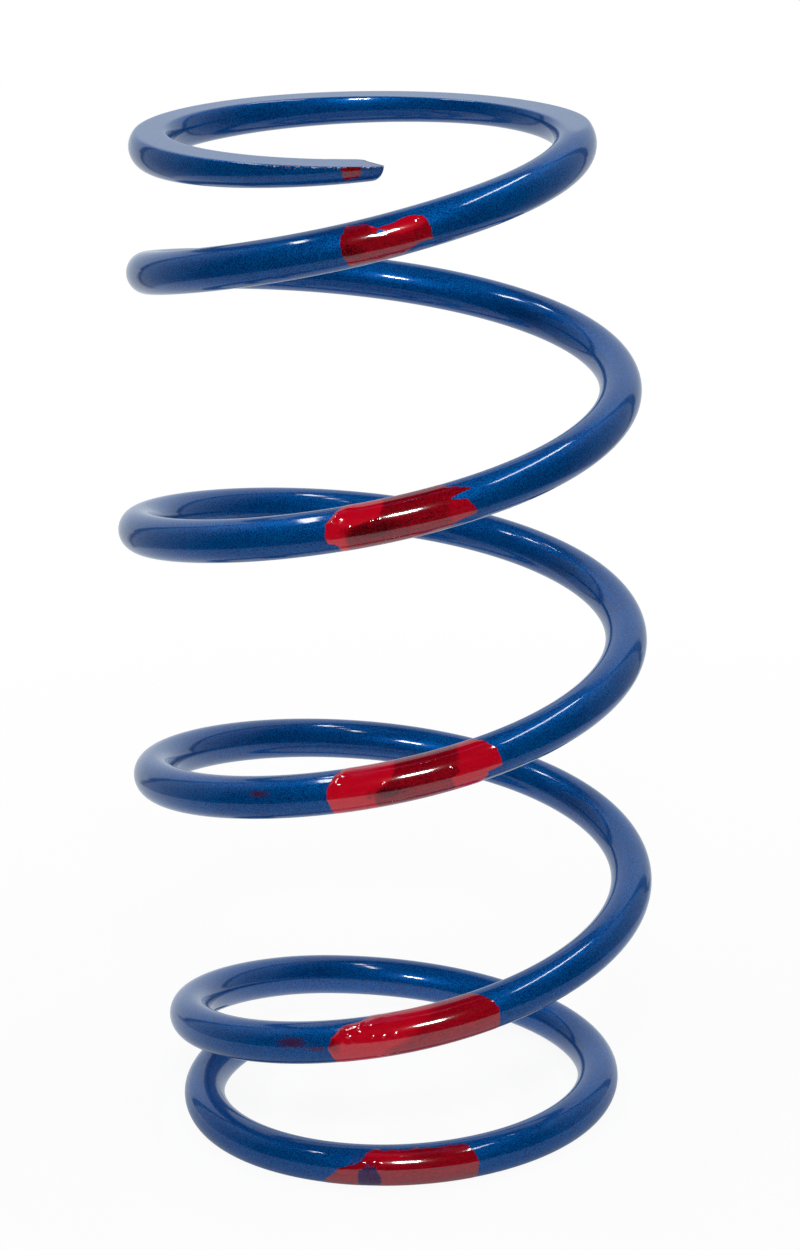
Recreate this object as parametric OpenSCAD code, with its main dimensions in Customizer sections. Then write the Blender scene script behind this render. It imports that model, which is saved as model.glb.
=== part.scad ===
// Compression spring of a driven clutch: one length of round wire, wound right-handed,
// with middle coils that are wider than the two end rings. Both ends are ground flat.
// The bottom face is square to the axis, and the top one leans a little out of square.
// The axis is Z, the ground bottom end lies on Z = 0, and a turn is counted from the top tip.

/* [Wire] */
// Diameter of the wire with its paint
wire_d = 5.6; // [4:0.1:7]

/* [Coils] */
// Length between the two ground ends along the axis, with the spring unloaded
free_length = 134.75; // [120:0.25:160]
// Mean diameter of the middle coils
coil_d = 64; // [58:0.5:74]
// Turns of wire from tip to tip
turns = 5.36; // [5:0.01:5.9]
// Direction of the top tip from the axis, seen from above, in degrees
top_tip_angle = 273; // [0:1:359]

/* [Top ring] */
// Mean diameter of the top ring
top_ring_d = 54.5; // [50:0.5:58]
// How far the top ring sits to the side of the axis
top_ring_shift = -0.4; // [-2:0.1:2]
// Turns from the top tip to where the wire starts to bend down
top_ring_turns = 0.58; // [0.5:0.01:0.8]
// Turns over which the bend reaches the full pitch
top_bend_turns = 0.4; // [0.2:0.01:0.5]
// How far the tip rises above the rest of the ring
top_tip_rise = 2.4; // [0:0.1:3]
// Turns over which the tip rises
top_rise_turns = 0.4; // [0.2:0.01:0.5]
// How far the wire at the tip stood above the middle of the ground face
top_grind = 3.7; // [0.5:0.1:4]
// How far the ground face leans out of square, in degrees
top_lean = 1.8; // [0:0.1:2.5]
// Direction in which the ground face falls away, seen from above, in degrees
top_lean_angle = 24; // [0:1:359]
// Turns from the top tip to where the ring starts to widen
top_flare_start = 0.95; // [0.7:0.01:1.1]
// Turns over which it widens to the middle coils
top_flare_turns = 0.85; // [0.4:0.01:1]

/* [Bottom ring] */
// Mean diameter of the bottom ring
bottom_ring_d = 54.4; // [50:0.2:58]
// How far the bottom ring sits to the side of the axis
bottom_ring_shift = -0.5; // [-2:0.1:2]
// How far the bottom ring sits behind the axis, less than 0 in front
bottom_ring_set_back = -1.2; // [-2:0.1:2]
// Turns from the bottom tip to where the wire starts to bend up
bottom_ring_turns = 0.61; // [0.5:0.01:0.8]
// Turns over which the bend reaches the full pitch
bottom_bend_turns = 0.3; // [0.2:0.01:0.5]
// Fall of the ring over a whole turn
bottom_ring_fall = 0.7; // [0:0.1:6]
// Depth of wire ground away at the bottom tip
bottom_grind = 0.9; // [0.5:0.1:4]
// Turns from the bottom tip to where the ring starts to widen
bottom_flare_start = 0.96; // [0.7:0.01:1.1]
// Turns over which it widens to the middle coils
bottom_flare_turns = 0.42; // [0.4:0.01:1]

/* [Tips] */
// Slant of the cut across each tip, which leaves the outer side longer, in degrees
tip_slant = 27; // [0:1:35]
// Radius of the worn edge round each cut
tip_round = 0.8; // [0.2:0.1:1.4]

/* [Smoothness] */
// Sections of the wire in one turn
turn_sections = 48; // [36:2:54]
// Sides of each section
wire_sides = 20; // [12:2:20]

/* [Hidden] */

wire_r = wire_d / 2;
paint_blue = [0.07, 0.2, 0.42];

// Heights of the wire's centre at the two tips, and along the top ring
top_tip_z = free_length - wire_r + top_grind;
top_ring_z = top_tip_z - top_tip_rise;
bottom_tip_z = wire_r - bottom_grind;

// Turns at which the lower bend and the lower narrowing start
bottom_bend_start = turns - bottom_ring_turns - bottom_bend_turns;
bottom_narrow_start = turns - bottom_flare_start - bottom_flare_turns;

// Turns counted at full pitch: those after the upper bend, less those after the lower one
turns_below_top = bent_turns(turns, top_ring_turns, top_bend_turns);
turns_below_bottom = bent_turns(turns, bottom_bend_start, bottom_bend_turns);
coil_fall = top_ring_z - bottom_tip_z - bottom_ring_fall * turns_below_bottom;
pitch = coil_fall / (turns_below_top - turns_below_bottom);

// The slanted cut fades into square sections over this length of wire
slant_length = 2 * wire_d;
slant_slope = tan(tip_slant);
round_steps = 3;
tangent_step = 0.001;
grind_width = coil_d + 4 * wire_d;
grind_height = 2 * wire_d;

// Soft step from 0 to 1
function ease(x) = let (c = min(max(x, 0), 1)) c * c * (3 - 2 * c);

// Turns that count after a bend, where the slope grows evenly from nothing to full
function bent_turns(t, start, width) =
    let (into = min(max(t - start, 0), width))
    into * into / (2 * width) + max(t - start - width, 0);

// Height of the wire over the top ring near its raised tip
function rise_at(t) =
    let (left = max(1 - t / top_rise_turns, 0))
    top_tip_rise * left * left;

// Height of the wire's centre after t turns
function height_at(t) =
    top_ring_z + rise_at(t)
    - pitch * bent_turns(t, top_ring_turns, top_bend_turns)
    + (pitch - bottom_ring_fall) * bent_turns(t, bottom_bend_start, bottom_bend_turns);

// Share of the top ring's and of the bottom ring's shape in the coil after t turns
function top_share(t) = 1 - ease((t - top_flare_start) / top_flare_turns);
function bottom_share(t) = ease((t - bottom_narrow_start) / bottom_flare_turns);

function radius_at(t) =
    (coil_d + (top_ring_d - coil_d) * top_share(t) + (bottom_ring_d - coil_d) * bottom_share(t)) / 2;

function outward_at(t) =
    let (angle = top_tip_angle - 360 * t)
    [cos(angle), sin(angle), 0];

function centre_at(t) =
    radius_at(t) * outward_at(t)
    + [
        top_ring_shift * top_share(t) + bottom_ring_shift * bottom_share(t),
        bottom_ring_set_back * bottom_share(t),
        height_at(t)
    ];

function unit(v) = v / norm(v);

// Direction of the wire towards the bottom tip
function tangent_at(t) = unit(centre_at(t + tangent_step) - centre_at(t - tangent_step));

// Share of a turn that a length of wire takes at a ring
function ring_turns(length, ring_d) = length / (PI * ring_d);

// How much of the slant is left at a distance from its tip
function slant_left(distance) = slant_slope * max(1 - distance / slant_length, 0);

// Lean of a section along the wire for each millimetre outwards from its centre
function lean_at(t) =
    slant_left((turns - t) * PI * bottom_ring_d) - slant_left(t * PI * top_ring_d);

// One section of the wire: a circle square to the wire, leaning near the tips
function section(t, r) =
    let (
        along = tangent_at(t),
        out = unit(outward_at(t) - (outward_at(t) * along) * along),
        up = cross(along, out),
        lean = lean_at(t)
    )
    [
        for (i = [0 : wire_sides - 1])
            let (a = 360 * i / wire_sides)
            centre_at(t) + r * (cos(a) * (out + lean * along) + sin(a) * up)
    ];

// Places of the sections as [turn, radius], with a rounded edge at both tips
top_edge = [
    for (k = [0 : round_steps])
        let (a = 90 * (1 - k / round_steps))
        [ring_turns(tip_round * (1 - sin(a)), top_ring_d), wire_r - tip_round * (1 - cos(a))]
];
bottom_edge = [
    for (k = [0 : round_steps])
        let (a = 90 * k / round_steps)
        [turns - ring_turns(tip_round * (1 - sin(a)), bottom_ring_d), wire_r - tip_round * (1 - cos(a))]
];
section_count = floor(turns * turn_sections);
middle = [for (i = [1 : section_count - 1]) [turns * i / section_count, wire_r]];
places = concat(top_edge, middle, bottom_edge);

// The whole wire before its ends are ground
module wire() {
    points = [for (p = places) each section(p[0], p[1])];
    last = (len(places) - 1) * wire_sides;
    sides = [
        for (k = [0 : len(places) - 2], i = [0 : wire_sides - 1])
            let (
                here = k * wire_sides,
                next = here + wire_sides,
                j = (i + 1) % wire_sides
            )
            [here + i, next + i, next + j, here + j]
    ];
    top_cap = [for (i = [0 : wire_sides - 1]) i];
    bottom_cap = [for (i = [wire_sides - 1 : -1 : 0]) last + i];
    polyhedron(points, concat(sides, [top_cap, bottom_cap]), convexity = 12);
}

// What a grinding wheel takes off above the plane Z = 0
module ground_off() {
    translate([-grind_width / 2, -grind_width / 2, 0])
        cube([grind_width, grind_width, grind_height]);
}

module spring() {
    color(paint_blue)
        difference() {
            wire();
            translate([0, 0, free_length])
                rotate([0, top_lean, top_lean_angle])
                    ground_off();
            mirror([0, 0, 1])
                ground_off();
        }
}

spring();
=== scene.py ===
"""Visual model of a steel compression spring: gloss blue wire with red brush marks at the front."""

import logging
import math
from dataclasses import dataclass
from enum import Enum
from functools import cached_property
from typing import Any

import bmesh
import bpy
from mathutils import Matrix, Vector, noise


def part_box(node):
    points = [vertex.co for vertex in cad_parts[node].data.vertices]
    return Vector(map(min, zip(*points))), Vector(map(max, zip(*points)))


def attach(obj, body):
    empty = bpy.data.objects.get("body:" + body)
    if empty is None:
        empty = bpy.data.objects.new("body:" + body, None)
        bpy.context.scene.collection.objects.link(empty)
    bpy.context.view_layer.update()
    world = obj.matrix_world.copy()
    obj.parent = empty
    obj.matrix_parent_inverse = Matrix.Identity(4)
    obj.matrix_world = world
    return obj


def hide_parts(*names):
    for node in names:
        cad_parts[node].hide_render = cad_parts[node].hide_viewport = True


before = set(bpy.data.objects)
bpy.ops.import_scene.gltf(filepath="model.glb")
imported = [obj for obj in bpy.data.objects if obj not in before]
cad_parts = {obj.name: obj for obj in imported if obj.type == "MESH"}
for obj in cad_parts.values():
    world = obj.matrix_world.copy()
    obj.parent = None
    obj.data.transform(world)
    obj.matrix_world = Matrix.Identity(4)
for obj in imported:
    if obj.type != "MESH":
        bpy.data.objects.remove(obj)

MM = 0.001
NODE = "spring"
BODY = "root"
LOG = logging.getLogger("spring")

# The middle of a noise value, and how far apart the seeds set the noise of two patterns.
MIDDLE = 0.5
SEED_STEP = (17.3, 5.1, 9.7)

# Colours are linear red, green and blue. A line is an edge, as pairs of a place on one axis and
# the edge's place on the other.
Colour = tuple[float, float, float]
Limits = tuple[float, float]
Line = tuple[tuple[float, float], ...]


class Paint(Enum):
    """The paints on the spring, by the record's slot names."""

    BLUE = "blue_paint"
    RED = "red_paint"


class Layer(Enum):
    """Per-vertex values that the materials read."""

    EDGE = "edge"
    TIP = "tip"
    SCUFF = "scuff"
    SMEAR = "smear"
    BODY = "paint_body"


WIRE_LAYERS = (Layer.EDGE, Layer.TIP, Layer.SCUFF, Layer.SMEAR)


def ease(share: float) -> float:
    """Smooth step from 0 to 1, flat outside that range."""
    part = min(max(share, 0.0), 1.0)
    return part * part * (3.0 - 2.0 * part)


def between(first: float, second: float, share: float) -> float:
    """Straight mix of two values."""
    return first + (second - first) * share


def rippled(place: Vector, seed: int) -> float:
    """Smooth noise from about -1 to 1 that the seed moves elsewhere."""
    return noise.noise(place + Vector([seed * step for step in SEED_STEP]))


def softened(depth: float, soft: float) -> float:
    """Depth behind a plane that it never comes through, with a soft bend near it."""
    return soft * math.log1p(math.exp(depth / soft))


class Field:
    """A float socket that Python's own operators work on, by way of Math nodes."""

    def __init__(self, bench: "NodeBench", socket: bpy.types.NodeSocket) -> None:
        """Keeps the socket and the bench that makes its nodes."""
        self.bench = bench
        self.socket = socket

    def math(self, operation: str, *others: "Field | float", flip: bool = False) -> "Field":
        """Adds one Math node.

        Args:
            operation: Blender's name of the operation.
            others: the further inputs, fields or numbers.
            flip: whether the first other comes before this field.

        Returns:
            The node's result.
        """
        inputs = [self, *others]
        if flip:
            inputs[0], inputs[1] = inputs[1], inputs[0]
        sockets = {place: value for place, value in enumerate(inputs)}
        made = self.bench.node("ShaderNodeMath", {"operation": operation}, sockets)
        return Field(self.bench, made.outputs[0])

    def __add__(self, other: "Field | float") -> "Field":
        """Sum."""
        return self.math("ADD", other)

    __radd__ = __add__

    def __sub__(self, other: "Field | float") -> "Field":
        """Difference."""
        return self.math("SUBTRACT", other)

    def __rsub__(self, other: float) -> "Field":
        """Difference from a number."""
        return self.math("SUBTRACT", other, flip=True)

    def __mul__(self, other: "Field | float") -> "Field":
        """Product."""
        return self.math("MULTIPLY", other)

    __rmul__ = __mul__

    def __truediv__(self, other: "Field | float") -> "Field":
        """Ratio."""
        return self.math("DIVIDE", other)

    def __rtruediv__(self, other: float) -> "Field":
        """Ratio of a number to this field."""
        return self.math("DIVIDE", other, flip=True)

    def largest(self, other: "Field | float") -> "Field":
        """The larger of the two."""
        return self.math("MAXIMUM", other)

    def smooth(self, low: float, high: float) -> "Field":
        """Smooth step.

        Args:
            low: the value where it is 0.
            high: the value where it is 1, which may be the smaller one.

        Returns:
            The step.
        """
        settings = {"interpolation_type": "SMOOTHSTEP"}
        sockets = {"Value": self, "From Min": low, "From Max": high}
        return Field(self.bench, self.bench.node("ShaderNodeMapRange", settings, sockets).outputs[0])


class NodeBench:
    """Makes and joins the nodes of one shader tree."""

    def __init__(self, tree: bpy.types.NodeTree) -> None:
        """Starts from an empty tree."""
        self.tree = tree
        tree.nodes.clear()

    def node(
        self,
        kind: str,
        settings: dict[str, Any] | None = None,
        sockets: dict[str | int, Any] | None = None,
    ) -> bpy.types.Node:
        """Adds one node of any kind.

        Args:
            kind: Blender's name of the node type.
            settings: properties, set before the sockets are looked up.
            sockets: input values, fields or sockets, by name or number.

        Returns:
            The new node.
        """
        made = self.tree.nodes.new(kind)
        for name, value in (settings or {}).items():
            setattr(made, name, value)
        for name, value in (sockets or {}).items():
            target = made.inputs[name]
            source = value.socket if isinstance(value, Field) else value
            if isinstance(source, bpy.types.NodeSocket):
                self.tree.links.new(source, target)
            else:
                target.default_value = source
        return made

    def attribute(self, layer: Layer) -> Field:
        """One of the piece's own per-vertex values."""
        made = self.node("ShaderNodeAttribute", {"attribute_name": layer.value})
        return Field(self, made.outputs["Fac"])

    def coordinates(self, kind: str = "Object") -> bpy.types.NodeSocket:
        """The piece's Object or UV coordinates."""
        return self.node("ShaderNodeTexCoord").outputs[kind]

    def stretched(self, vector: bpy.types.NodeSocket, by: tuple[float, float, float]) -> bpy.types.NodeSocket:
        """The vector times another, part by part."""
        made = self.node("ShaderNodeVectorMath", {"operation": "MULTIPLY"}, {0: vector, 1: by})
        return made.outputs[0]

    def grain(self, vector: bpy.types.NodeSocket, size: float, detail: float = 2.0) -> Field:
        """Noise from 0 to 1.

        Args:
            vector: the coordinates that it lies on.
            size: about how far apart its lumps are, in those coordinates.
            detail: how many finer layers are added.

        Returns:
            The noise value.
        """
        sockets = {"Vector": vector, "Scale": 1.0 / size, "Detail": detail, "Roughness": 0.55}
        return Field(self, self.node("ShaderNodeTexNoise", None, sockets).outputs["Fac"])

    def mixed(self, share: "Field | float", first: Any, second: Any) -> bpy.types.NodeSocket:
        """Mix of two colours.

        Args:
            share: 0 for the first, 1 for the second.
            first: a colour or a colour socket.
            second: a colour or a colour socket.

        Returns:
            The mixed colour's socket.
        """
        values = [(*c, 1.0) if isinstance(c, tuple) else c for c in (first, second)]
        settings = {"data_type": "RGBA"}
        made = self.node("ShaderNodeMix", settings, {0: share, 6: values[0], 7: values[1]})
        return made.outputs[2]

    def bump(self, height: Field, depth: float, strength: float) -> bpy.types.NodeSocket:
        """A normal bent by the slope of a height field."""
        sockets = {"Height": height, "Distance": depth, "Strength": strength}
        return self.node("ShaderNodeBump", None, sockets).outputs[0]

    def finish(self, shader: bpy.types.NodeSocket, output: str = "ShaderNodeOutputMaterial") -> None:
        """Joins the shader to the tree's output."""
        self.node(output, None, {"Surface": shader})


def new_material(name: str) -> tuple[bpy.types.Material, NodeBench]:
    """Starts a node material.

    Args:
        name: the material's name.

    Returns:
        The material and the bench for its tree.
    """
    made = bpy.data.materials.new(name)
    made.use_nodes = True
    return made, NodeBench(made.node_tree)


def object_from(mesh: bmesh.types.BMesh, name: str, paint: bpy.types.Material) -> bpy.types.Object:
    """Makes an object of the scene from a mesh.

    Args:
        mesh: its shape, which is freed.
        name: its name.
        paint: its material.

    Returns:
        The object.
    """
    data = bpy.data.meshes.new(name)
    mesh.to_mesh(data)
    mesh.free()
    data.materials.append(paint)
    made = bpy.data.objects.new(name, data)
    bpy.context.scene.collection.objects.link(made)
    return made


def piece_from(mesh: bmesh.types.BMesh, name: str, paint: bpy.types.Material) -> bpy.types.Object:
    """Makes a smooth piece of the spring and lets it ride on the frame.

    Args:
        mesh: the finished shape, which is freed.
        name: the piece's name.
        paint: its material.

    Returns:
        The piece.
    """
    for face in mesh.faces:
        face.smooth = True
    piece = object_from(mesh, name, paint)
    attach(piece, BODY)
    LOG.info("%s: %d faces", name, len(piece.data.polygons))
    return piece


@dataclass(frozen=True)
class BluePaint:
    """Gloss blue paint on the wire, worn along the ground edges and at the tip."""

    deep: Colour = (0.0002, 0.026, 0.175)
    lively: Colour = (0.0007, 0.150, 0.50)
    bare_steel: Colour = (0.55, 0.55, 0.56)
    rust: Colour = (0.38, 0.11, 0.05)
    soot: Colour = (0.012, 0.011, 0.014)
    red_smear: Colour = (0.11, 0.004, 0.016)
    drift_size: float = 9.0 * MM
    drift_share: float = 0.35
    fleck_size: float = 0.14 * MM
    fleck_share: float = 3.6
    fleck_roughness: float = 0.12
    peel_size: float = 0.55 * MM
    peel_depth: float = 0.012 * MM
    peel_strength: float = 0.2
    chip_size: float = 0.22 * MM
    chip_wear: float = 0.45
    chip_limits: Limits = (0.86, 0.93)
    chip_dip: float = 2.0
    chip_roughness: float = 0.2
    chip_dulling: float = 0.85
    tint_spread: float = 2.3
    rust_limits: Limits = (0.50, 0.60)
    steel_limits: Limits = (0.56, 0.48)
    smear_wear: float = 0.7
    smear_limits: Limits = (0.12, 0.45)
    smear_share: float = 0.7
    flake: float = 0.64
    roughness: float = 0.42
    coat_roughness: float = 0.09

    def material(self) -> bpy.types.Material:
        """Builds the node material.

        Returns:
            The blue paint.
        """
        made, bench = new_material(Paint.BLUE.value)
        place = bench.coordinates()
        drift = bench.grain(place, self.drift_size)
        fleck = bench.grain(place, self.fleck_size, 1.0)
        chips = bench.grain(place, self.chip_size, 3.0)
        tint = bench.grain(place, self.tint_spread * self.chip_size, 1.0)
        edge = bench.attribute(Layer.EDGE)
        worn = edge.largest(bench.attribute(Layer.TIP)).largest(bench.attribute(Layer.SCUFF))
        chipped = (chips + worn * self.chip_wear).smooth(*self.chip_limits)
        shade = (drift - MIDDLE) * self.drift_share + (fleck - MIDDLE) * self.fleck_share + MIDDLE
        blue = bench.mixed(shade, self.deep, self.lively)
        under = bench.mixed(tint.smooth(*self.rust_limits), self.soot, self.rust)
        under = bench.mixed(tint.smooth(*self.steel_limits) * edge, under, self.bare_steel)
        smeared = bench.attribute(Layer.SMEAR) * self.smear_wear + chips - MIDDLE
        smeared = smeared.smooth(*self.smear_limits) * self.smear_share
        colour = bench.mixed(chipped, bench.mixed(smeared, blue, self.red_smear), under)
        height = bench.grain(place, self.peel_size, 1.0) - chipped * self.chip_dip
        sockets = {
            "Base Color": colour,
            "Roughness": self.roughness + fleck * self.fleck_roughness + chipped * self.chip_roughness,
            "Metallic": self.flake * (1.0 - chipped),
            "Specular IOR Level": 0.0,
            "Coat Weight": 1.0 - chipped * self.chip_dulling,
            "Coat Roughness": self.coat_roughness,
            "Normal": bench.bump(height, self.peel_depth, self.peel_strength),
        }
        bench.finish(bench.node("ShaderNodeBsdfPrincipled", None, sockets).outputs[0])
        return made


@dataclass(frozen=True)
class RedPaint:
    """Brushed red paint: bright where it is thick, dark where the blue shows through."""

    thick: Colour = (0.54, 0.0003, 0.013)
    thin: Colour = (0.05, 0.0003, 0.002)
    stroke_length: float = 5.0 * MM
    stroke_width: float = 0.22 * MM
    stroke_share: float = 0.45
    stroke_height: float = 0.7
    lump_size: float = 0.5 * MM
    lump_share: float = 0.2
    lump_height: float = 0.5
    lump_roughness: float = 0.1
    fleck_size: float = 0.16 * MM
    fleck_share: float = 1.3
    ridge_depth: float = 0.018 * MM
    ridge_strength: float = 0.6
    roughness: float = 0.34
    coat_roughness: float = 0.1
    coat_ior: float = 2.05

    def material(self) -> bpy.types.Material:
        """Builds the node material.

        Returns:
            The red paint.
        """
        made, bench = new_material(Paint.RED.value)
        brushed = (1.0 / self.stroke_length, 1.0 / self.stroke_width, 1.0)
        strokes = bench.grain(bench.stretched(bench.coordinates("UV"), brushed), 1.0)
        lumps = bench.grain(bench.coordinates(), self.lump_size)
        fleck = bench.grain(bench.coordinates(), self.fleck_size, 1.0)
        body = bench.attribute(Layer.BODY)
        shade = body + (strokes - MIDDLE) * self.stroke_share
        shade = shade + (lumps - MIDDLE) * self.lump_share + (fleck - MIDDLE) * self.fleck_share
        ridges = strokes * self.stroke_height + lumps * self.lump_height
        sockets = {
            "Base Color": bench.mixed(shade, self.thin, self.thick),
            "Roughness": self.roughness + lumps * self.lump_roughness,
            "Specular IOR Level": 0.0,
            "Coat Weight": 1.0,
            "Coat IOR": self.coat_ior,
            "Coat Roughness": self.coat_roughness,
            "Normal": bench.bump(ridges, self.ridge_depth, self.ridge_strength),
        }
        bench.finish(bench.node("ShaderNodeBsdfPrincipled", None, sockets).outputs[0])
        return made


@dataclass(frozen=True)
class WirePath:
    """Centre line of the wire from the top tip down, by turns from that tip, as the CAD has it."""

    coil_d: float
    wire_r: float = 2.8 * MM
    free_length: float = 134.75 * MM
    turns: float = 5.36
    tip_angle: float = math.radians(273.0)
    top_ring_d: float = 54.5 * MM
    top_ring_shift: float = -0.4 * MM
    top_ring_turns: float = 0.58
    top_bend_turns: float = 0.4
    top_tip_rise: float = 2.4 * MM
    top_rise_turns: float = 0.4
    top_grind: float = 3.7 * MM
    top_lean: float = math.radians(1.8)
    top_lean_angle: float = math.radians(24.0)
    top_flare_start: float = 0.95
    top_flare_turns: float = 0.85
    bottom_ring_d: float = 54.4 * MM
    bottom_ring_shift: float = -0.5 * MM
    bottom_ring_set_back: float = -1.2 * MM
    bottom_ring_turns: float = 0.61
    bottom_bend_turns: float = 0.3
    bottom_ring_fall: float = 0.7 * MM
    bottom_grind: float = 0.9 * MM
    bottom_flare_start: float = 0.96
    bottom_flare_turns: float = 0.42
    tip_slant: float = math.radians(27.0)
    slant_radii: float = 4.0

    @staticmethod
    def bent_turns(turn: float, start: float, width: float) -> float:
        """Turns run after a bend that sets in smoothly over a width from its start."""
        into = min(max(turn - start, 0.0), width)
        return into * into / (2.0 * width) + max(turn - start - width, 0.0)

    @cached_property
    def bottom_bend_start(self) -> float:
        """Turns from the top tip to where the wire bends into the bottom ring."""
        return self.turns - self.bottom_ring_turns - self.bottom_bend_turns

    @cached_property
    def top_ring_z(self) -> float:
        """Height of the wire's middle along the top ring, beyond the raised tip."""
        return self.free_length - self.wire_r + self.top_grind - self.top_tip_rise

    @cached_property
    def top_normal(self) -> Vector:
        """Direction square to the ground top face.

        Returns:
            A unit vector out of the spring.
        """
        level = math.sin(self.top_lean)
        across, away = level * math.cos(self.top_lean_angle), level * math.sin(self.top_lean_angle)
        return Vector((across, away, math.cos(self.top_lean)))

    def below_top(self, place: Vector) -> float:
        """How far a point lies under the ground top face, negative above it."""
        return (Vector((0.0, 0.0, self.free_length)) - place).dot(self.top_normal)

    @cached_property
    def pitch(self) -> float:
        """Fall of the open coils in one turn.

        Returns:
            The fall that brings the bottom tip to its height.
        """
        open_turns = self.bent_turns(self.turns, self.top_ring_turns, self.top_bend_turns)
        ring_turns = self.bent_turns(self.turns, self.bottom_bend_start, self.bottom_bend_turns)
        fall = self.top_ring_z - (self.wire_r - self.bottom_grind) - self.bottom_ring_fall * ring_turns
        return fall / (open_turns - ring_turns)

    def height(self, turn: float) -> float:
        """Height of the wire's middle.

        Args:
            turn: turns from the top tip.

        Returns:
            The height over the bottom face.
        """
        opened = self.bent_turns(turn, self.top_ring_turns, self.top_bend_turns)
        closed = self.bent_turns(turn, self.bottom_bend_start, self.bottom_bend_turns)
        left = max(1.0 - turn / self.top_rise_turns, 0.0)
        start = self.top_ring_z + self.top_tip_rise * left * left
        return start - self.pitch * opened + (self.pitch - self.bottom_ring_fall) * closed

    def ring_shares(self, turn: float) -> tuple[float, float]:
        """How far the wire is drawn in to the end rings.

        Args:
            turn: turns from the top tip.

        Returns:
            The top ring's share and the bottom ring's, from 0 to 1.
        """
        narrow = self.turns - self.bottom_flare_start - self.bottom_flare_turns
        top = 1.0 - ease((turn - self.top_flare_start) / self.top_flare_turns)
        return top, ease((turn - narrow) / self.bottom_flare_turns)

    def radius(self, turn: float) -> float:
        """Distance of the wire's middle from its own ring's middle.

        Args:
            turn: turns from the top tip.

        Returns:
            The radius.
        """
        top, bottom = self.ring_shares(turn)
        width = self.coil_d + (self.top_ring_d - self.coil_d) * top
        return (width + (self.bottom_ring_d - self.coil_d) * bottom) / 2.0

    def outward(self, turn: float) -> Vector:
        """Level direction away from the middle."""
        angle = self.tip_angle - math.tau * turn
        return Vector((math.cos(angle), math.sin(angle), 0.0))

    def centre(self, turn: float) -> Vector:
        """The wire's middle.

        Args:
            turn: turns from the top tip.

        Returns:
            The point in the row frame.
        """
        top, bottom = self.ring_shares(turn)
        shift = self.top_ring_shift * top + self.bottom_ring_shift * bottom
        offset = Vector((shift, self.bottom_ring_set_back * bottom, self.height(turn)))
        return self.radius(turn) * self.outward(turn) + offset

    def axes(self, turn: float) -> tuple[Vector, Vector, Vector]:
        """Directions of the section: along the wire, outward and up.

        Args:
            turn: turns from the top tip.

        Returns:
            Three unit vectors square to each other.
        """
        step = 0.001
        along = (self.centre(turn + step) - self.centre(turn - step)).normalized()
        outward = self.outward(turn)
        out = (outward - outward.dot(along) * along).normalized()
        return along, out, along.cross(out)

    def lean(self, turn: float) -> float:
        """Slope of the section near a slanted tip.

        Args:
            turn: turns from the top tip.

        Returns:
            How far it leans along the wire for each step outward.
        """
        reach = self.slant_radii * self.wire_r / (math.tau * self.radius(turn))
        slope = math.tan(self.tip_slant)
        from_top = max(1.0 - turn / reach, 0.0)
        from_bottom = max(1.0 - (self.turns - turn) / reach, 0.0)
        return slope * (from_bottom - from_top)


@dataclass(frozen=True)
class Scuff:
    """A worn or smeared spot on the blue paint, by its middle and half sizes."""

    turn: float
    angle: float
    length: float
    width: float


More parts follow.
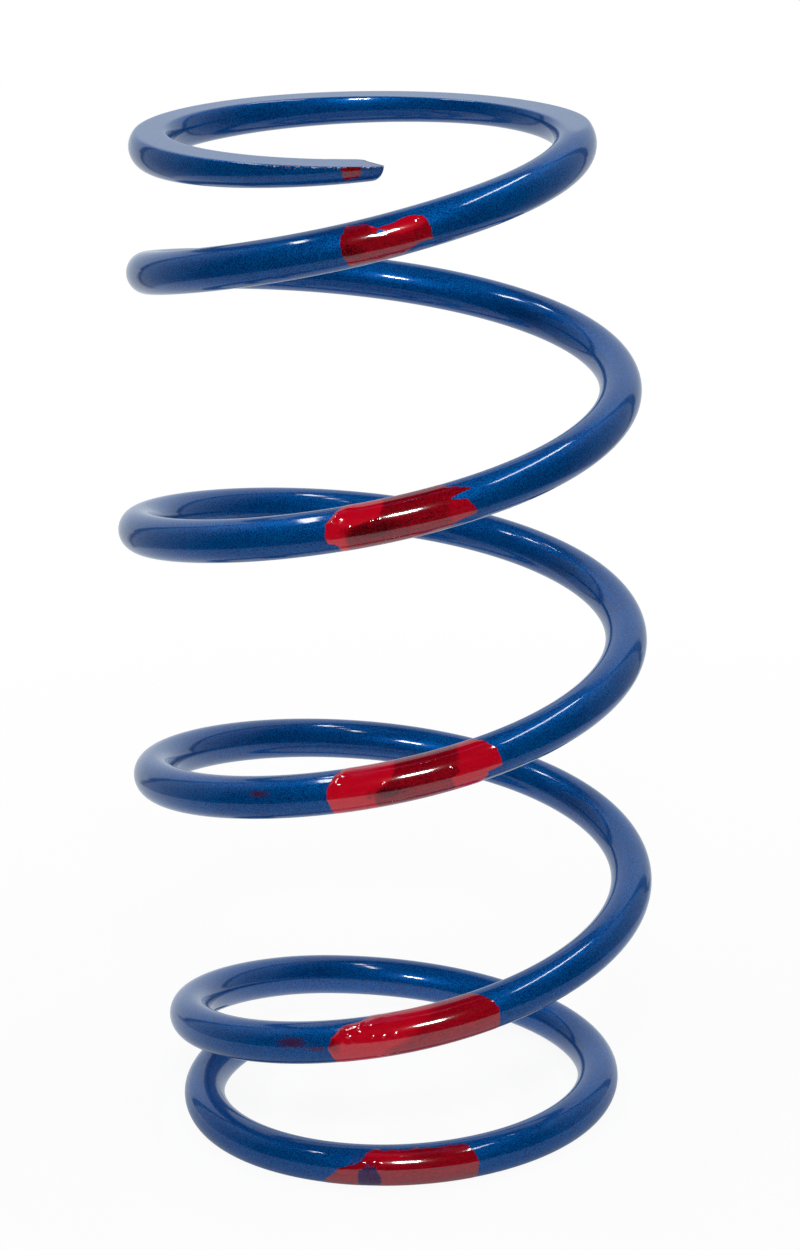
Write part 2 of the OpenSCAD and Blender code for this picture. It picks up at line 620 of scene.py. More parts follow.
@dataclass
class SpringWire:
    """The coiled wire with its ground ends."""

    path: WirePath
    skin: float = 0.045 * MM
    tip_round: float = 0.8 * MM
    tip_steps: int = 6
    ring_steps: int = 430
    coil_steps: int = 780
    ring_turns: float = 0.86
    around: int = 56
    zone: float = 0.11
    least_half: float = math.radians(3.0)
    loose_share: float = 0.5
    full_gather: float = 0.99
    weld: float = 0.001 * MM
    edge_round: float = 0.1 * MM
    round_reach: float = 20.0
    edge_reach: float = 0.32 * MM
    tip_reach: float = 0.95 * MM
    tip_turns: float = 0.14
    worn_turns: float = 0.2
    light_wear: float = 0.25
    scuffs: tuple[Scuff, ...] = ()
    smears: tuple[Scuff, ...] = ()

    @property
    def radius(self) -> float:
        """The painted wire's radius."""
        return self.path.wire_r - self.skin

    def stations(self) -> list[tuple[float, float]]:
        """Where the sections lie.

        Returns:
            Turns from the top tip and the shrink of each section's radius.
        """
        path = self.path
        tips = []
        for step in range(self.tip_steps):
            swing = 0.5 * math.pi * step / self.tip_steps
            run = self.tip_round * (1.0 - math.cos(swing))
            tips.append((run, self.tip_round * (1.0 - math.sin(swing))))
        start = self.tip_round / (math.tau * path.radius(0.0))
        stop = path.turns - self.tip_round / (math.tau * path.radius(path.turns))
        rows = [(run / (math.tau * path.radius(0.0)), shrink) for run, shrink in tips]
        rows += [
            (between(start, self.ring_turns, step / self.ring_steps), 0.0)
            for step in range(self.ring_steps)
        ]
        rows += [
            (between(self.ring_turns, stop, step / self.coil_steps), 0.0)
            for step in range(self.coil_steps + 1)
        ]
        rows += [
            (path.turns - run / (math.tau * path.radius(path.turns)), shrink)
            for run, shrink in reversed(tips)
        ]
        return rows

    def opening(self, gap: float, radius: float) -> tuple[float, float]:
        """How a grinding plane meets a section.

        Args:
            gap: distance from the section's middle to the plane.
            radius: the section's radius.

        Returns:
            Half the angle that the plane cuts off, or that its grid zone spans, and how much
            the grid gathers at the cut's corners.
        """
        share = gap / radius
        if share < 1.0:
            return max(math.acos(max(share, -1.0)), self.least_half), 1.0
        loose = ease((share - 1.0) / self.loose_share)
        return between(self.least_half, math.tau * self.zone, loose), 1.0 - loose

    def section_angle(self, share: float, top: tuple[float, float], bottom: tuple[float, float]) -> float:
        """Angle of a grid point round the section.

        Args:
            share: place round the grid, 0.5 facing outward, 0.75 facing up.
            top: the top plane's half angle and gathering.
            bottom: the bottom plane's half angle and gathering.

        Returns:
            The angle from outward, up being positive.
        """
        gather = max(top[1], bottom[1])

        def drawn(part: float) -> float:
            """Place in a zone from -1 to 1, drawn to the ends where a corner is."""
            return between(part, math.sin(0.5 * math.pi * part), gather)

        quarter = 0.5 * math.pi
        for middle, heading, (half, _) in ((0.75, 1.0, top), (0.25, -1.0, bottom)):
            part = (share - middle) / self.zone
            if abs(part) <= 1.0 + 1e-6:
                part = drawn(min(max(part, -1.0), 1.0))
                return heading * quarter + math.asin(part * math.sin(half))
        span = 0.5 - 2.0 * self.zone
        if 0.25 < share < 0.75:
            part = (share - 0.5) / (0.5 * span)
            low, high = -quarter + bottom[0], quarter - top[0]
        else:
            part = ((share - 0.75) % 1.0 - 0.25) / (0.5 * span)
            low, high = quarter + top[0], 3.0 * quarter - bottom[0]
        return between(low, high, 0.5 + 0.5 * drawn(part))

    def ground(self, place: Vector) -> Vector:
        """Where a point comes to lie once both ends are ground, with rounded corners.

        Args:
            place: the point on the round wire.

        Returns:
            The point on the ground wire.
        """
        soft, reach = self.edge_round, self.round_reach * self.edge_round
        depth = self.path.below_top(place)
        if depth < reach:
            place = place + (depth - softened(depth, soft)) * self.path.top_normal
        if place.z < reach:
            place.z = softened(place.z, soft)
        return place

    def surface(self, turn: float, angle: float, radius: float) -> Vector:
        """A point of the ground wire.

        Args:
            turn: turns from the top tip.
            angle: angle round the section from outward, up being positive.
            radius: distance from the wire's middle.

        Returns:
            The point in the row frame.
        """
        along, out, up = self.path.axes(turn)
        side = out + self.path.lean(turn) * along
        return self.ground(self.path.centre(turn) + radius * (math.cos(angle) * side + math.sin(angle) * up))

    def spotted(self, spots: tuple[Scuff, ...], turn: float, angle: float) -> float:
        """How deep in one of some spots a point lies.

        Args:
            spots: the spots.
            turn: the point's turns from the top tip.
            angle: its angle round the section.

        Returns:
            1 in the middle of a spot, 0 outside all of them.
        """
        depth = 0.0
        for spot in spots:
            run = (turn - spot.turn) * math.tau * self.path.radius(turn) / spot.length
            side = math.remainder(angle - spot.angle, math.tau) * self.radius / spot.width
            depth = max(depth, 1.0 - math.hypot(run, side))
        return depth

    def corner_gap(self, angle: float, top: tuple[float, float], bottom: tuple[float, float]) -> float:
        """How far round the section the nearest corner of a ground face is.

        Args:
            angle: the point's angle round the section.
            top: the top plane's half angle and gathering.
            bottom: the bottom plane's half angle and gathering.

        Returns:
            The angle between them, half a turn where nothing is ground.
        """
        gap = math.pi
        for heading, (half, gather) in ((0.5 * math.pi, top), (-0.5 * math.pi, bottom)):
            if gather > self.full_gather:
                gap = min(gap, abs(abs(math.remainder(angle - heading, math.tau)) - half))
        return gap

    def edge_wear(self, turn: float, angle: float, gap: float) -> float:
        """How worn a ground edge is: most by the top tip, on the outer side.

        Args:
            turn: the point's turns from the top tip.
            angle: its angle round the section.
            gap: its distance from the edge.

        Returns:
            The wear from 0 to 1.
        """
        fresh = ease(turn / self.worn_turns) if math.cos(angle) > 0.0 else 1.0
        reach = between(self.tip_reach, self.edge_reach, ease(turn / self.tip_turns))
        return between(1.0, self.light_wear, fresh) * max(1.0 - gap / reach, 0.0)

    def build(self, paint: bpy.types.Material) -> bpy.types.Object:
        """Wraps one grid along the path, closes it and hands it to the frame.

        Args:
            paint: the wire's material.

        Returns:
            The finished piece.
        """
        rows = self.stations()
        last = len(rows) - 1
        mesh = bmesh.new()
        mesh.loops.layers.uv.new("wire")
        layers = {layer: mesh.verts.layers.float.new(layer.value) for layer in WIRE_LAYERS}
        bmesh.ops.create_grid(mesh, x_segments=last, y_segments=self.around, size=0.5, calc_uvs=True)
        for vert in mesh.verts:
            turn, shrink = rows[round((vert.co.x + 0.5) * last)]
            share = vert.co.y + 0.5
            radius = self.radius - shrink
            along, out, up = self.path.axes(turn)
            centre = self.path.centre(turn)
            top = self.opening(self.path.below_top(centre) / up.dot(self.path.top_normal), radius)
            bottom = self.opening(centre.z / up.z, radius)
            angle = self.section_angle(share, top, bottom)
            side = out + self.path.lean(turn) * along
            place = centre + radius * (math.cos(angle) * side + math.sin(angle) * up)
            gap = self.corner_gap(angle, top, bottom) * radius
            run = turn * math.tau * self.path.radius(0.0)
            vert[layers[Layer.EDGE]] = self.edge_wear(turn, angle, gap)
            vert[layers[Layer.TIP]] = max(1.0 - run / self.tip_round, 0.0)
            vert[layers[Layer.SCUFF]] = self.spotted(self.scuffs, turn, angle)
            vert[layers[Layer.SMEAR]] = self.spotted(self.smears, turn, angle)
            vert.co = self.ground(place)
        bmesh.ops.remove_doubles(mesh, verts=mesh.verts, dist=self.weld)
        bmesh.ops.holes_fill(mesh, edges=[e for e in mesh.edges if e.is_boundary], sides=0)
        bmesh.ops.recalc_face_normals(mesh, faces=mesh.faces)
        piece = piece_from(mesh, "painted_wire", paint)
        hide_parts(NODE)
        return piece


@dataclass(frozen=True)
class Spot:
    """An oval place on a mark, by its middle and half sizes along the wire and round it.

    A shade has a paint body and a soft rim, a drop has a height.
    """

    along: float
    angle: float
    length: float
    width: float
    body: float = 0.0
    soft: float = 0.8 * MM
    height: float = 0.0

    def depth(self, along: float, angle: float, radius: float) -> float:
        """How deep a point lies inside the spot.

        Args:
            along: the point's distance along from the mark's start.
            angle: its angle from outward, in degrees.
            radius: the wire's radius.

        Returns:
            The depth, negative outside.
        """
        run = (along - self.along) / self.length
        side = math.radians(angle - self.angle) * radius / self.width
        return (1.0 - math.hypot(run, side)) * min(self.length, self.width)


@dataclass(frozen=True)
class Ripple:
    """A noise pattern on a mark, by its steps along the wire and in degrees round it."""

    length: float
    angle: float
    plane: float
    height: float

    def at(self, along: float, angle: float, seed: int) -> float:
        """Its height at a point."""
        return self.height * rippled(Vector((along / self.length, angle / self.angle, self.plane)), seed)


BARE_RIM = Ripple(length=0.5 * MM, angle=14.0, plane=3.0, height=0.25 * MM)
POOL_WAVE = Ripple(length=1.2 * MM, angle=22.0, plane=1.0, height=0.35 * MM)
POOL_FRAY = Ripple(length=0.4 * MM, angle=8.0, plane=4.0, height=0.15 * MM)
BEAD_LUMPS = Ripple(length=0.7 * MM, angle=12.0, plane=2.0, height=0.7)


@dataclass(frozen=True)
class BrushMark:
    """A red brush mark on the front of one coil.

    Distances along run from the turn's front on towards the bottom of the spring, angles go
    from outward up, in degrees. The left and right edges are pairs of angle and distance along,
    the low and high ones pairs of distance along and angle.
    """

    name: str
    turn: float
    left: Line
    right: Line
    low: Line = ((0.0, -95.0),)
    high: Line = ((0.0, 118.0),)
    film: float = 0.022 * MM
    edge: float = 0.25 * MM
    bead: float = 0.0
    bead_width: float = 1.1 * MM
    bead_angle: float = 45.0
    bead_spread: float = 40.0
    bead_inset: float = 0.7
    bead_clear: float = 45.0
    left_rag: float = 0.2 * MM
    right_rag: float = 0.2 * MM
    rag_width: float = 0.4 * MM
    side_rag: float = 6.0
    side_run: float = 1.3 * MM
    side_swing: float = 60.0
    side_finer: float = 2.7
    fine_width: float = 0.3
    fine_run: float = 3.0 * MM
    fine_share: float = 0.5
    thin_body: float = 0.35
    left_pool: Line = ()
    right_pool: Line = ()
    pool_body: float = 1.0
    pool_soft: float = 0.5 * MM
    right_share: float = 0.8
    bare: tuple[Spot, ...] = ()
    shades: tuple[Spot, ...] = ()
    drops: tuple[Spot, ...] = ()
    seed: int = 1
    step: float = 0.13 * MM
    least_cells: int = 8
    margin: float = 0.6 * MM
    side_margin: float = 12.0
    trim: float = 0.2 * MM

    @staticmethod
    def edge_at(points: Line, place: float) -> float:
        """Where an edge lies, straight between its points.

        Args:
            points: the edge.
            place: the place on its first axis.

        Returns:
            The edge's place on its second axis.
        """
        if place <= points[0][0]:
            return points[0][1]
        for (before, first), (after, second) in zip(points, points[1:]):
            if place <= after:
                return between(first, second, (place - before) / (after - before))
        return points[-1][1]

    def depths(self, along: float, angle: float, radius: float) -> tuple[float, float, float, float]:
        """How far a point lies inside the mark's four ragged edges.

        Args:
            along: distance along from the front.
            angle: angle from outward, in degrees.
            radius: the wire's radius.

        Returns:
            Distances from the left, right, low and high edges, negative outside.
        """
        girth = math.radians(angle) * radius
        rows = Vector((girth / self.rag_width, 0.0, 0.0))
        fine = Vector((girth / (self.fine_width * self.rag_width), along / self.fine_run, 0.0))
        columns = Vector((along / self.side_run, angle / self.side_swing, 0.0))
        left_wave = rippled(rows, self.seed) + self.fine_share * rippled(fine, self.seed + 1)
        right_wave = rippled(rows, self.seed + 2) + self.fine_share * rippled(fine, self.seed + 3)
        side_wave = rippled(columns, self.seed + 4)
        side_wave += self.fine_share * rippled(self.side_finer * columns, self.seed + 5)
        side_wave *= self.side_rag
        left = self.edge_at(self.left, angle) - along + self.left_rag * left_wave
        right = along - self.edge_at(self.right, angle) + self.right_rag * right_wave
        low = math.radians(angle - self.edge_at(self.low, along) - side_wave) * radius
        high = math.radians(self.edge_at(self.high, along) - angle + side_wave) * radius
        return left, right, low, high

    def coat(self, along: float, angle: float, radius: float) -> tuple[float, float, float]:
        """The paint at one point.

        Args:
            along: distance along from the front.
            angle: angle from outward, in degrees.
            radius: the wire's radius.

        Returns:
            Height over the wire, negative outside the mark, depth inside the outline, and the
            paint's body from 0, thin, to 1, thick.
        """
        left, right, low, high = self.depths(along, angle, radius)
        inside = min(left, right, low, high)
        for spot in self.bare:
            rim = BARE_RIM.at(along, angle, self.seed + 6)
            inside = min(inside, rim - spot.depth(along, angle, radius))
        body = self.thin_body
        wave = POOL_WAVE.at(along, angle, self.seed + 7) + POOL_FRAY.at(along, angle, self.seed + 9)
        if self.left_pool:
            share = ease(0.5 + (along - self.edge_at(self.left_pool, angle) + wave) / self.pool_soft)
            body = between(body, self.pool_body, share)
        if self.right_pool:
            share = ease(0.5 + (self.edge_at(self.right_pool, angle) - along + wave) / self.pool_soft)
            body = between(body, self.pool_body, self.right_share * share)
        for spot in self.shades:
            share = ease(0.5 + (spot.depth(along, angle, radius) + wave) / spot.soft)
            body = between(body, spot.body, share)
        rise = math.tanh(inside / self.edge)
        height = self.film * rise
        if inside > 0.0 and self.bead:
            aside = ease(abs(angle) / self.bead_clear)
            crest = math.exp(-((left / self.bead_width - self.bead_inset) ** 2))
            crest *= math.exp(-(((angle - self.bead_angle) / self.bead_spread) ** 2))
            lump = 1.0 + BEAD_LUMPS.at(along, angle, self.seed + 8)
            height += self.bead * crest * lump * aside * rise
        for spot in self.drops:
            height += spot.height * ease(spot.depth(along, angle, radius) / min(spot.length, spot.width))
        return height, inside, body

    def build(self, wire: SpringWire, paint: bpy.types.Material) -> bpy.types.Object:
        """Wraps a grid over the wire, lifts it by the paint's height and trims it to the mark.

        Args:
            wire: the wire that the mark lies on.
            paint: the mark's material.

        Returns:
            The finished piece.
        """
        radius = wire.radius
        first = min(value for _, value in self.right) - self.margin - self.right_rag
        second = max(value for _, value in self.left) + self.margin + self.left_rag
        low = min(value for _, value in self.low) - self.side_margin
        high = max(value for _, value in self.high) + self.side_margin
        arc = math.tau * wire.path.radius(self.turn)
        length, girth = second - first, math.radians(high - low) * radius
        columns = max(round(length / self.step), self.least_cells)
        lines = max(round(girth / self.step), self.least_cells)
        mesh = bmesh.new()
        uv = mesh.loops.layers.uv.new("mark")
        body_layer = mesh.verts.layers.float.new(Layer.BODY.value)
        bmesh.ops.create_grid(mesh, x_segments=columns, y_segments=lines, size=0.5, calc_uvs=True)
        depth: dict[int, float] = {}
        for face in mesh.faces:
            for loop in face.loops:
                loop[uv].uv = (loop.vert.co.x * length, loop.vert.co.y * girth)
        for index, vert in enumerate(mesh.verts):
            along = between(first, second, vert.co.x + 0.5)
            angle = between(low, high, vert.co.y + 0.5)
            height, inside, body = self.coat(along, angle, radius)
            depth[index] = inside
            vert[body_layer] = body
            vert.co = wire.surface(self.turn + along / arc, math.radians(angle), radius + height)
        mesh.verts.index_update()
        outside = [f for f in mesh.faces if max(depth[v.index] for v in f.verts) < -self.trim]
        bmesh.ops.delete(mesh, geom=outside, context="FACES")
        bmesh.ops.reverse_faces(mesh, faces=mesh.faces)
        piece = piece_from(mesh, self.name, paint)
        return piece


@dataclass(frozen=True)
class Lamp:
    """A soft rectangular lamp that is aimed at the spring's middle."""

    name: str
    azimuth: float
    elevation: float
    distance: float
    width: float
    height: float
    power: float

    @property
    def toward(self) -> Vector:
        """Direction from the spring to the lamp."""
        around, over = math.radians(self.azimuth), math.radians(self.elevation)
        return Vector((math.sin(around) * math.cos(over), -math.cos(around) * math.cos(over), math.sin(over)))

    def build(self, target: Vector) -> bpy.types.Object:
        """Hangs the lamp.

        Args:
            target: the point that it faces.

        Returns:
            The lamp.
        """
        light = bpy.data.lights.new(self.name, "AREA")
        light.shape = "RECTANGLE"
        light.size = self.width
        light.size_y = self.height
        light.energy = self.power
        lamp = bpy.data.objects.new(self.name, light)
        lamp.location = target + self.distance * self.toward
        lamp.rotation_euler = self.toward.to_track_quat("Z", "Y").to_euler()
        lamp.visible_camera = False
        bpy.context.scene.collection.objects.link(lamp)
        return lamp


@dataclass
class Studio:
    """Pale floor, white surroundings, a dark room in front and overhead, lamps and camera."""

    target: Vector
    lamps: tuple[Lamp, ...]
    floor_size: float = 8.0
    floor_albedo: Colour = (0.86, 0.86, 0.86)
    floor_share: float = 0.92
    floor_near: float = 0.03
    floor_plain: float = 0.26
    ambient: float = 0.34
    paper_reach: float = 0.15
    paper_middle: float = -0.025
    paper_widening: float = 1.1
    paper_edge: float = 0.02
    paper_fade: float = 0.04
    paper_turn: float = 0.6
    paper_front: Colour = (0.36, 0.40, 0.44)
    paper_back: Colour = (0.66, 0.72, 0.78)
    room_radius: float = 3.9
    room_colour: Colour = (0.80, 0.90, 1.0)
    dark_level: float = 0.004
    back_level: float = 0.74
    sheet_end: float = 0.765
    panel_end: float = 0.675
    panel_level: float = 0.1
    panel_slope: float = 0.56
    gap_depth: float = 0.85
    sheet_edge: float = 0.01
    wall_top: Limits = (0.84, 0.70)
    least_reach: float = 0.05
    camera_distance: float = 501.27 * MM
    camera_elevation: float = math.radians(17.549)
    camera_roll: float = math.radians(-2.317)
    focal_pixels: float = 3755.63
    photo_height: float = 1250.0
    sensor: float = 36.0

    def seen(self, bench: NodeBench) -> Field:
        """Picks the rays that show the background: the camera's, in gloss and through glass.

        Args:
            bench: the bench of the material.

        Returns:
            1 for those rays, 0 for others.
        """
        rays = bench.node("ShaderNodeLightPath").outputs
        camera = Field(bench, rays["Is Camera Ray"])
        glossy = Field(bench, rays["Is Glossy Ray"])
        return camera.largest(glossy).largest(Field(bench, rays["Is Transmission Ray"]))

    def build_world(self) -> None:
        """White where it is seen, and a plain level of light for everything else."""
        world = bpy.data.worlds.new("white_surroundings")
        world.use_nodes = True
        bench = NodeBench(world.node_tree)
        level = self.ambient + self.seen(bench) * (1.0 - self.ambient)
        sockets = {"Color": (1.0, 1.0, 1.0, 1.0), "Strength": level}
        bench.finish(bench.node("ShaderNodeBackground", None, sockets).outputs[0], "ShaderNodeOutputWorld")
        bpy.context.scene.world = world

    def backdrop(self, backward: Field) -> Field:
        """Level of the surroundings: a pale sheet behind, dimmer panels aside, dark in front.

        Args:
            backward: how far a direction points to the back, from -1 to 1.

        Returns:
            The level.
        """
        gap = backward.smooth(self.panel_end, self.panel_end + 2.0 * self.sheet_edge) * self.gap_depth
        panel = (backward * self.panel_slope + self.panel_level).largest(0.0) * (1.0 - gap)
        sheet = backward.smooth(self.sheet_end - self.sheet_edge, self.sheet_end + self.sheet_edge)
        return panel + sheet * (self.back_level - panel) + self.dark_level

    def build_floor(self) -> bpy.types.Object:
        """A pale sheet that keeps a soft shadow and fades to plain white away from the spring.

        In the gloss it shows as paper under the spring, with the surroundings beyond.

        Returns:
            The floor.
        """
        made, bench = new_material("pale_floor")
        place = bench.node("ShaderNodeSeparateXYZ", None, {0: bench.coordinates()}).outputs
        across, away = Field(bench, place["X"]), Field(bench, place["Y"])
        reach = (across * across + away * away).math("SQRT")
        rays = bench.node("ShaderNodeLightPath").outputs
        aside = across.math("ABSOLUTE")
        backward = away / reach
        shifted = across - self.paper_middle
        sheet = (shifted * shifted + away * away).math("SQRT")
        front = sheet.smooth(self.paper_reach, self.paper_reach + self.paper_edge)
        front = front * (away - aside * self.paper_widening).smooth(self.paper_fade, -self.paper_fade)
        glossy = Field(bench, rays["Is Glossy Ray"])
        plain = self.floor_share + reach.smooth(self.floor_near, self.floor_plain) * (1.0 - self.floor_share)
        paper = bench.node("ShaderNodeBsdfDiffuse", None, {"Color": (*self.floor_albedo, 1.0)})
        turned = backward.smooth(-self.paper_turn, self.paper_turn)
        paper_shine = bench.mixed(turned, self.paper_front, self.paper_back)
        table = bench.mixed(self.backdrop(backward), (0.0, 0.0, 0.0), self.room_colour)
        shine = bench.mixed(front, paper_shine, table)
        light = bench.mixed(glossy, (1.0, 1.0, 1.0), shine)
        glow = bench.node("ShaderNodeEmission", None, {"Color": light})
        share = (plain * self.seen(bench)).largest(glossy)
        mixed = bench.node("ShaderNodeMixShader", None, {0: share, 1: paper.outputs[0], 2: glow.outputs[0]})
        bench.finish(mixed.outputs[0])
        mesh = bmesh.new()
        bmesh.ops.create_grid(mesh, x_segments=1, y_segments=1, size=0.5 * self.floor_size)
        return self.stage_piece(mesh, "floor", made)

    def build_room(self) -> bpy.types.Object:
        """The room that only the gloss shows: dark in front and overhead, pale behind.

        Returns:
            The dome.
        """
        made, bench = new_material("dark_room")
        near = bench.stretched(bench.coordinates(), (1.0 / self.room_radius,) * 3)
        place = bench.node("ShaderNodeSeparateXYZ", None, {0: near}).outputs
        across, away, over = (Field(bench, place[axis]) for axis in "XYZ")
        reach = (across * across + away * away).math("SQRT").largest(self.least_reach)
        level = self.backdrop(away / reach) * over.smooth(*self.wall_top)
        sockets = {"Color": (*self.room_colour, 1.0), "Strength": level}
        bench.finish(bench.node("ShaderNodeEmission", None, sockets).outputs[0])
        mesh = bmesh.new()
        bmesh.ops.create_uvsphere(mesh, u_segments=64, v_segments=32, radius=self.room_radius)
        room = self.stage_piece(mesh, "dark_room", made)
        room.visible_camera = False
        room.visible_diffuse = False
        room.visible_shadow = False
        room.visible_transmission = False
        return room

    @staticmethod
    def stage_piece(mesh: bmesh.types.BMesh, name: str, paint: bpy.types.Material) -> bpy.types.Object:
        """Makes an object of the stage from a mesh.

        Args:
            mesh: its shape, which is freed.
            name: its name.
            paint: its material.

        Returns:
            The object.
        """
        made = object_from(mesh, name, paint)
        return made

    def build_camera(self) -> bpy.types.Object:
        """The photograph's camera.

        Returns:
            The camera, which is also the scene's.
        """
        data = bpy.data.cameras.new("camera")
        data.sensor_width = self.sensor
        data.lens = self.sensor * self.focal_pixels / self.photo_height
        camera = bpy.data.objects.new("camera", data)
        tilt, roll = self.camera_elevation, self.camera_roll
        back = Vector((0.0, -math.cos(tilt), math.sin(tilt)))
        right, up = Vector((1.0, 0.0, 0.0)), Vector((0.0, math.sin(tilt), math.cos(tilt)))
        across = math.cos(roll) * right + math.sin(roll) * up
        upward = math.cos(roll) * up - math.sin(roll) * right
        turned = Matrix((across, upward, back)).transposed().to_4x4()
        camera.matrix_world = Matrix.Translation(self.target + self.camera_distance * back) @ turned
        bpy.context.scene.collection.objects.link(camera)
        bpy.context.scene.camera = camera
        return camera

    def build(self) -> None:
        """Sets the whole stage up."""
        bpy.context.scene.view_settings.view_transform = "Standard"
        self.build_world()
        self.build_floor()
        self.build_room()
        for lamp in self.lamps:
            lamp.build(self.target)
        self.build_camera()
        LOG.info("studio: %d lamps", len(self.lamps))


# Turns from a whole turn on to where a mark's distances start.
MARK_START = 0.0028

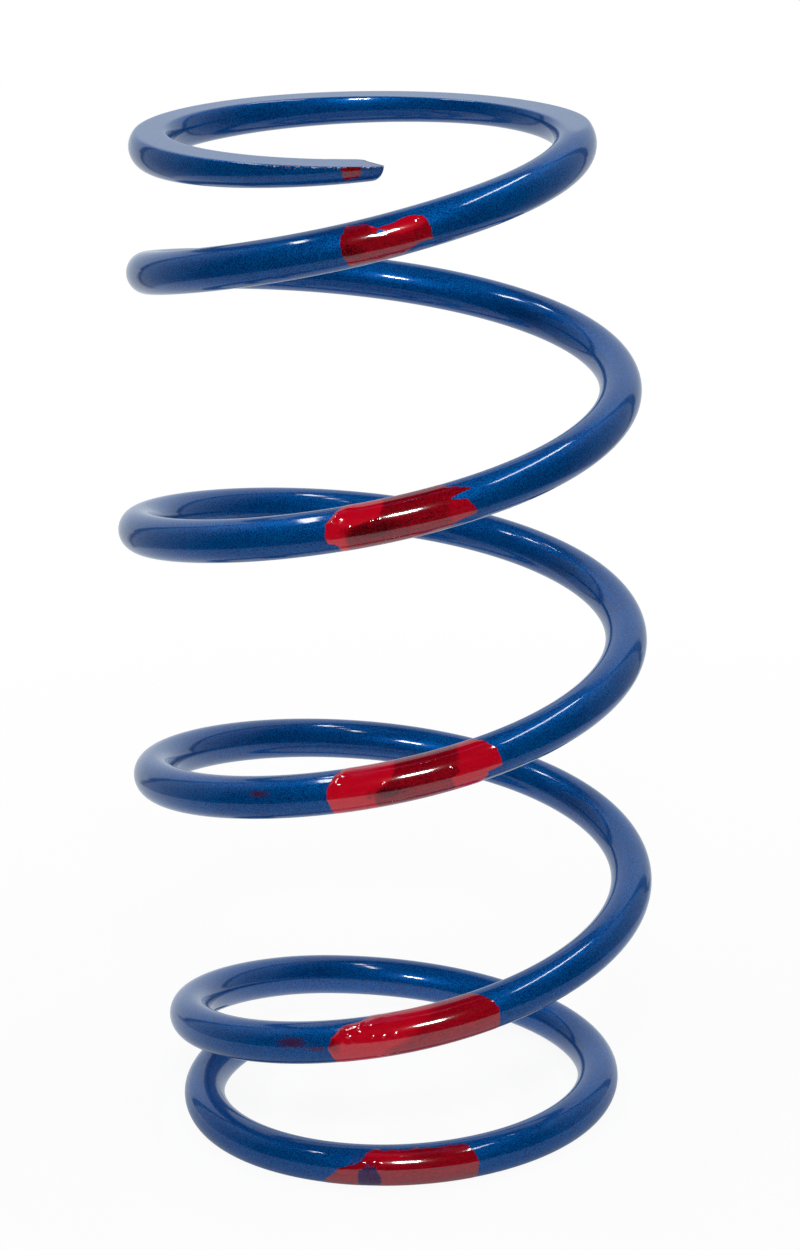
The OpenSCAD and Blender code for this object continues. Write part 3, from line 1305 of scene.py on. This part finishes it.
MARKS = (
    BrushMark(
        name="mark_turn_1",
        turn=1.0 + MARK_START,
        left=((-51.0, 3.2 * MM), (-9.0, 3.7 * MM), (32.0, 3.5 * MM), (62.0, 2.8 * MM)),
        right=((-40.0, -6.3 * MM), (10.0, -6.4 * MM), (60.0, -6.2 * MM)),
        low=(
            (-6.5 * MM, -24.0), (-4.5 * MM, -27.0), (-3.2 * MM, -50.0),
            (-0.3 * MM, -63.0), (3.0 * MM, -56.0),
        ),
        high=(
            (-6.4 * MM, 22.0), (-5.9 * MM, 40.0), (-4.3 * MM, 52.0), (-2.5 * MM, 43.0),
            (-0.6 * MM, 38.0), (0.4 * MM, 60.0), (3.0 * MM, 66.0),
        ),
        side_rag=5.0,
        right_rag=0.3 * MM,
        thin_body=0.38,
        bare=(Spot(-0.9 * MM, 27.0, 0.5 * MM, 0.3 * MM),),
        shades=(
            Spot(-3.4 * MM, 40.0, 3.1 * MM, 1.3 * MM, 1.0, 0.9 * MM),
            Spot(2.9 * MM, -10.0, 1.5 * MM, 0.9 * MM, 0.12, 1.2 * MM),
        ),
        drops=(Spot(-5.2 * MM, 36.0, 0.3 * MM, 0.3 * MM, height=0.12 * MM),),
        seed=3,
    ),
    BrushMark(
        name="mark_turn_2",
        turn=2.0 + MARK_START,
        left=(
            (-60.0, 6.1 * MM), (-28.0, 6.4 * MM), (-22.0, 7.2 * MM), (0.0, 7.4 * MM),
            (32.0, 7.2 * MM), (57.0, 6.2 * MM), (90.0, 5.3 * MM),
        ),
        right=(
            (-60.0, -6.2 * MM), (-30.0, -7.9 * MM), (-25.0, -9.9 * MM), (-15.0, -10.1 * MM), (5.0, -9.5 * MM),
            (21.0, -9.2 * MM), (30.0, -7.6 * MM), (36.0, -7.3 * MM), (42.0, -8.6 * MM), (47.0, -10.1 * MM),
            (58.0, -9.2 * MM), (70.0, -7.7 * MM), (95.0, -7.0 * MM),
        ),
        bead=0.2 * MM,
        right_rag=0.35 * MM,
        rag_width=0.3 * MM,
        thin_body=0.33,
        left_pool=(
            (-60.0, 5.2 * MM), (-24.0, 5.35 * MM), (-5.0, 5.0 * MM), (15.0, 4.5 * MM),
            (20.0, 2.9 * MM), (30.0, 1.0 * MM), (71.0, 0.4 * MM), (95.0, 0.2 * MM),
        ),
        shades=(
            Spot(2.2 * MM, -2.0, 3.0 * MM, 0.9 * MM, 0.05, 1.0 * MM),
            Spot(-8.3 * MM, 0.0, 1.6 * MM, 2.0 * MM, 0.62, 1.5 * MM),
        ),
        drops=(
            Spot(4.6 * MM, 16.0, 0.3 * MM, 0.25 * MM, height=0.1 * MM),
            Spot(2.1 * MM, 22.0, 0.35 * MM, 0.25 * MM, height=0.12 * MM),
            Spot(1.3 * MM, 24.0, 0.3 * MM, 0.25 * MM, height=0.1 * MM),
        ),
        seed=11,
    ),
    BrushMark(
        name="mark_turn_3",
        turn=3.0 + MARK_START,
        left=((-60.0, 8.4 * MM), (0.0, 8.6 * MM), (28.0, 8.5 * MM), (73.0, 7.3 * MM), (95.0, 6.6 * MM)),
        right=(
            (-60.0, -9.6 * MM), (-36.0, -10.1 * MM), (-18.0, -10.4 * MM), (-14.0, -11.6 * MM),
            (-9.0, -12.2 * MM), (38.0, -11.9 * MM), (78.0, -10.8 * MM), (95.0, -10.2 * MM),
        ),
        bead=0.14 * MM,
        left_rag=0.12 * MM,
        thin_body=0.36,
        left_pool=(
            (-60.0, 3.0 * MM), (-37.0, 3.2 * MM), (-4.0, 3.1 * MM), (14.0, 2.1 * MM),
            (28.0, 0.9 * MM), (60.0, 0.4 * MM), (95.0, 0.2 * MM),
        ),
        right_pool=(
            (-40.0, -6.2 * MM), (-6.0, -5.9 * MM), (8.0, -7.2 * MM),
            (27.0, -7.0 * MM), (83.0, -7.7 * MM),
        ),
        shades=(Spot(1.5 * MM, -2.0, 2.0 * MM, 0.55 * MM, 0.06, 0.9 * MM),),
        drops=(
            Spot(7.3 * MM, 35.0, 0.4 * MM, 0.3 * MM, height=0.13 * MM),
            Spot(2.0 * MM, 20.0, 0.35 * MM, 0.3 * MM, height=0.12 * MM),
            Spot(-6.3 * MM, 20.0, 0.3 * MM, 0.4 * MM, height=0.12 * MM),
        ),
        seed=23,
    ),
    BrushMark(
        name="mark_turn_4",
        turn=4.0 + MARK_START,
        left=(
            (-60.0, 9.3 * MM), (-43.0, 9.5 * MM), (5.0, 9.9 * MM), (29.0, 9.3 * MM),
            (64.0, 7.9 * MM), (75.0, 5.8 * MM), (95.0, 4.8 * MM),
        ),
        right=(
            (-60.0, -10.6 * MM), (18.0, -10.9 * MM), (40.0, -10.7 * MM),
            (55.0, -10.1 * MM), (95.0, -8.6 * MM),
        ),
        bead=0.2 * MM,
        bead_width=2.6 * MM,
        left_rag=0.15 * MM,
        right_rag=0.12 * MM,
        thin_body=0.46,
        left_pool=(
            (-60.0, 3.4 * MM), (-20.0, 2.8 * MM), (0.0, 0.4 * MM),
            (30.0, -1.2 * MM), (60.0, -3.5 * MM),
        ),
        pool_body=0.9,
        pool_soft=2.6 * MM,
        shades=(Spot(9.3 * MM, 10.0, 0.8 * MM, 0.9 * MM, 0.4, 0.8 * MM),),
        drops=(
            Spot(8.1 * MM, 49.0, 0.4 * MM, 0.3 * MM, height=0.15 * MM),
            Spot(7.3 * MM, 32.0, 0.5 * MM, 0.3 * MM, height=0.15 * MM),
            Spot(6.0 * MM, 42.0, 0.3 * MM, 0.45 * MM, height=0.15 * MM),
            Spot(4.4 * MM, 24.0, 0.3 * MM, 0.3 * MM, height=0.1 * MM),
            Spot(3.1 * MM, 21.0, 0.35 * MM, 0.3 * MM, height=0.1 * MM),
            Spot(1.7 * MM, 22.0, 0.3 * MM, 0.25 * MM, height=0.1 * MM),
        ),
        seed=37,
    ),
    BrushMark(
        name="mark_turn_5",
        turn=5.0 + MARK_START,
        left=(
            (-40.0, 11.0 * MM), (-21.0, 10.2 * MM), (15.0, 8.5 * MM), (30.0, 6.3 * MM),
            (37.0, 5.9 * MM), (63.0, 5.3 * MM), (80.0, 5.0 * MM),
        ),
        right=((-60.0, -7.8 * MM), (12.0, -8.1 * MM), (58.0, -7.6 * MM), (75.0, -6.6 * MM)),
        high=((0.0, 72.0),),
        left_rag=0.3 * MM,
        right_rag=0.08 * MM,
        thin_body=0.46,
        bare=(Spot(5.1 * MM, -17.0, 1.5 * MM, 2.2 * MM),),
        shades=(Spot(3.0 * MM, 50.0, 2.8 * MM, 0.9 * MM, 0.85, 1.2 * MM),),
        drops=(
            Spot(5.9 * MM, 33.0, 0.35 * MM, 0.3 * MM, height=0.1 * MM),
            Spot(4.7 * MM, 36.0, 0.3 * MM, 0.25 * MM, height=0.1 * MM),
            Spot(3.9 * MM, 34.0, 0.35 * MM, 0.25 * MM, height=0.1 * MM),
        ),
        seed=53,
    ),
    BrushMark(
        name="mark_tip",
        turn=0.0,
        left=((-50.0, 4.2 * MM), (-20.0, 4.5 * MM), (0.0, 4.4 * MM)),
        right=((-50.0, 2.9 * MM), (-20.0, 2.5 * MM), (0.0, 2.7 * MM)),
        low=((0.0, -52.0),),
        high=((0.0, -4.0),),
        film=0.012 * MM,
        left_rag=0.35 * MM,
        right_rag=0.35 * MM,
        side_rag=14.0,
        thin_body=0.22,
        seed=61,
    ),
)

SCUFFS = (
    Scuff(turn=1.215, angle=math.radians(72.0), length=1.6 * MM, width=0.7 * MM),
    Scuff(turn=4.55, angle=math.radians(170.0), length=1.2 * MM, width=0.8 * MM),
)

SMEARS = (
    Scuff(turn=3.089, angle=math.radians(27.0), length=2.0 * MM, width=0.7 * MM),
    Scuff(turn=4.076, angle=math.radians(22.0), length=3.0 * MM, width=1.1 * MM),
    Scuff(turn=4.060, angle=math.radians(3.0), length=1.6 * MM, width=0.6 * MM),
    Scuff(turn=5.033, angle=math.radians(-17.0), length=3.6 * MM, width=5.0 * MM),
)

LAMPS = (
    Lamp("lamp_middle", azimuth=1.0, elevation=36.0, distance=0.8, width=0.15, height=0.08, power=2.6),
    Lamp("lamp_left", azimuth=-104.0, elevation=63.0, distance=0.9, width=0.5, height=0.06, power=2.0),
    Lamp("lamp_right", azimuth=90.0, elevation=64.0, distance=0.9, width=0.66, height=0.05, power=1.7),
)

# Where the camera and the lamps point.
VIEW_CENTRE = (1.889 * MM, 0.0, 67.63 * MM)


def main() -> None:
    """Builds the wire, its marks and the studio."""
    logging.basicConfig(level=logging.INFO, format="%(name)s: %(message)s")
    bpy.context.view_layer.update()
    low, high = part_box(NODE)
    path = WirePath(coil_d=high.x - low.x - 2.0 * WirePath.wire_r)
    wire = SpringWire(path, scuffs=SCUFFS, smears=SMEARS)
    wire.build(BluePaint().material())
    red = RedPaint().material()
    for mark in MARKS:
        mark.build(wire, red)
    Studio(target=Vector(VIEW_CENTRE), lamps=LAMPS).build()


if __name__ == "__main__":
    main()
